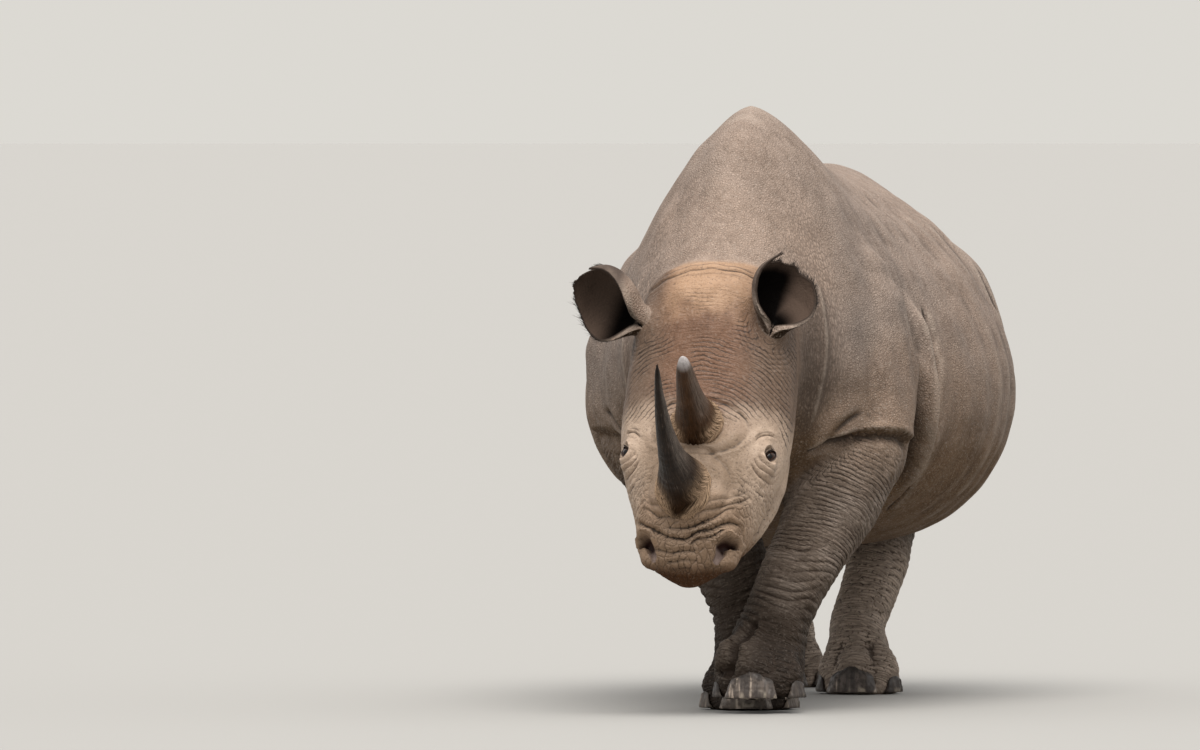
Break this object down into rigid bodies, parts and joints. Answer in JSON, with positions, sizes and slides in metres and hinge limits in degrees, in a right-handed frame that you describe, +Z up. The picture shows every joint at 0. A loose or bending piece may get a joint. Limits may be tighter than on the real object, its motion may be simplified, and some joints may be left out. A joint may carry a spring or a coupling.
{
  "type": "black rhinoceros",
  "caption": "Life-size black rhinoceros walking with its head low, two horns forward and one forefoot just off the ground.",
  "frame": {"origin": "centre of the bounding box, on the floor under the feet", "axes": "+Z up, the animal faces -Y and its own left side is +X"},
  "size_m": [1.0582, 2.9948, 1.5],
  "materials": {
    "hide": "dry folded hide, warm grey-brown",
    "face": "wrinkled hide, tan over grey",
    "leg": "densely wrinkled dark hide",
    "foot": "dusty dark hide",
    "nail": "worn horn, stands in for keratin",
    "ear": "thin dark hide",
    "eye": "wet dark brown, stands in for an eye",
    "horn_front": "dark fibrous keratin, worn smooth at the tip",
    "horn_rear": "brown fibrous keratin with a paler tip",
    "bristle": "stiff black bristles"
  },
  "bodies": {
    "root": {"trunk": "hide", "neck": "hide", "head": "face", "lower_jaw": "face", "ear_left": "ear", "ear_right": "ear", "eye_left": "eye", "eye_right": "eye", "horn_front": "horn_front", "horn_rear": "horn_rear", "tail": "hide", "tail_brush": "bristle", "foreleg_left_upper": "leg", "foreleg_left_lower": "leg", "foreleg_left_foot": "foot", "foreleg_left_nail_inner": "nail", "foreleg_left_nail_middle": "nail", "foreleg_left_nail_outer": "nail", "foreleg_right_upper": "leg", "foreleg_right_lower": "leg", "foreleg_right_foot": "foot", "foreleg_right_nail_inner": "nail", "foreleg_right_nail_middle": "nail", "foreleg_right_nail_outer": "nail", "hindleg_left_upper": "leg", "hindleg_left_lower": "leg", "hindleg_left_foot": "foot", "hindleg_left_nail_inner": "nail", "hindleg_left_nail_middle": "nail", "hindleg_left_nail_outer": "nail", "hindleg_right_upper": "leg", "hindleg_right_lower": "leg", "hindleg_right_foot": "foot", "hindleg_right_nail_inner": "nail", "hindleg_right_nail_middle": "nail", "hindleg_right_nail_outer": "nail"}
  },
  "joints": []
}
